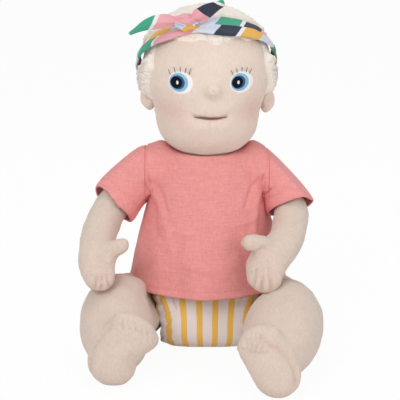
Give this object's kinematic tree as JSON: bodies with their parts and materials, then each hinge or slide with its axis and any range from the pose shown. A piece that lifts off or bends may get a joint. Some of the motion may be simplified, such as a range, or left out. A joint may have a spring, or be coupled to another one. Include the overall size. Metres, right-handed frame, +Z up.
{
  "type": "baby doll",
  "caption": "Soft stuffed baby doll sitting with its legs out, with sewn joints, an embroidered face, fleecy hair, a knotted headscarf, a short-sleeved shirt and a striped nappy",
  "frame": {"origin": "centre of the flat seat under the nappy, between the hips", "axes": "+Z up, -Y is where the doll faces, +X is the doll's own left"},
  "size_m": [0.2207, 0.2392, 0.3311],
  "materials": {
    "skin_velour": "matte",
    "hair_fleece": "matte",
    "fibre_filling": "matte",
    "plastic_pellets": "matte",
    "coral_cotton": "matte",
    "striped_cotton": "matte",
    "printed_cotton": "matte",
    "white_thread": "satin",
    "blue_thread": "satin",
    "dark_thread": "satin",
    "mouth_thread": "satin",
    "seam_thread": "matte",
    "fastening_strip": "matte"
  },
  "bodies": {
    "torso": {"body_skin": "skin_velour", "body_stuffing": "fibre_filling", "pellet_bag": "plastic_pellets", "shirt_front": "coral_cotton", "shirt_left_back": "coral_cotton", "shirt_right_back": "coral_cotton", "shirt_hook_strip": "fastening_strip", "shirt_loop_strip": "fastening_strip", "nappy": "striped_cotton", "nappy_left_tab": "striped_cotton", "nappy_right_tab": "striped_cotton"},
    "neck": {"neck_seam": "seam_thread"},
    "head": {"head_skin": "skin_velour", "head_stuffing": "fibre_filling", "left_ear": "skin_velour", "right_ear": "skin_velour", "hair_cap": "hair_fleece", "left_eye_white": "white_thread", "left_iris": "blue_thread", "left_pupil": "dark_thread", "right_eye_white": "white_thread", "right_iris": "blue_thread", "right_pupil": "dark_thread", "mouth_stitching": "mouth_thread"},
    "headscarf": {"headscarf_band": "printed_cotton", "headscarf_knot": "printed_cotton", "headscarf_right_tail": "printed_cotton", "headscarf_left_tail": "printed_cotton"},
    "left_arm": {"left_arm_skin": "skin_velour", "left_arm_stuffing": "fibre_filling", "left_sleeve": "coral_cotton"},
    "right_arm": {"right_arm_skin": "skin_velour", "right_arm_stuffing": "fibre_filling", "right_sleeve": "coral_cotton"},
    "left_leg": {"left_leg_skin": "skin_velour", "left_leg_stuffing": "fibre_filling"},
    "right_leg": {"right_leg_skin": "skin_velour", "right_leg_stuffing": "fibre_filling"}
  },
  "joints": [
    {"name": "neck_turn", "type": "hinge", "parent": "torso", "child": "neck", "pos_m": [0, 0, 0.188], "axis": [0, 0, 1], "range_deg": [-40, 40], "stiffness_Nm_per_rad": 0.5},
    {"name": "neck_nod", "type": "hinge", "parent": "neck", "child": "head", "pos_m": [0, 0, 0.188], "axis": [0.9962, 0.0872, 0], "range_deg": [-5, 7], "stiffness_Nm_per_rad": 3},
    {"name": "left_shoulder", "type": "hinge", "parent": "torso", "child": "left_arm", "pos_m": [0.054, 0.002, 0.164], "axis": [-1, 0, 0], "range_deg": [0, 65], "stiffness_Nm_per_rad": 1},
    {"name": "right_shoulder", "type": "hinge", "parent": "torso", "child": "right_arm", "pos_m": [-0.054, 0.002, 0.164], "axis": [-1, 0, 0], "range_deg": [0, 130], "stiffness_Nm_per_rad": 1},
    {"name": "left_hip", "type": "hinge", "parent": "torso", "child": "left_leg", "pos_m": [0.062, 0, 0.032], "axis": [1, 0, 0], "range_deg": [0, 90], "stiffness_Nm_per_rad": 1},
    {"name": "right_hip", "type": "hinge", "parent": "torso", "child": "right_leg", "pos_m": [-0.062, 0, 0.032], "axis": [1, 0, 0], "range_deg": [0, 90], "stiffness_Nm_per_rad": 1},
    {"name": "headscarf_slip", "type": "slide", "parent": "head", "child": "headscarf", "axis": [-0.0616, 0.7044, 0.7071], "range_m": [0, 0.12]}
  ]
}
